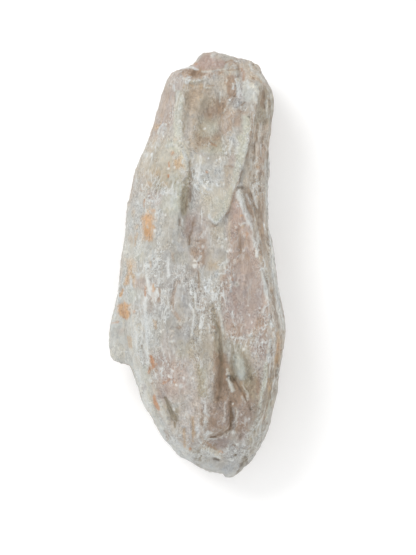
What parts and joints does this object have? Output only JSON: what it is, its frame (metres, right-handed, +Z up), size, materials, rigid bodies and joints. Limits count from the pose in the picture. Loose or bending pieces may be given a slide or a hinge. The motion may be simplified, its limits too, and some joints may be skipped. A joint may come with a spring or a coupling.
{
  "type": "soapstone block",
  "caption": "Rough raw soapstone carving block, long and rib-grained, with a blunt broken end, a rounded end with a small nib and a flat underside to rest on.",
  "frame": {"origin": "under the middle of the stone's box, on the surface that it rests on", "axes": "+Z up with the stone lying on its flat underside, +Y along its length towards the blunt broken end, +X to the right when it is seen from above with the broken end away from the viewer"},
  "size_m": [0.1058, 0.2548, 0.0778],
  "materials": {
    "soapstone": "waxy satin talc with frosty white scuffs"
  },
  "bodies": {
    "root": {"soapstone_block": "soapstone"}
  },
  "joints": []
}
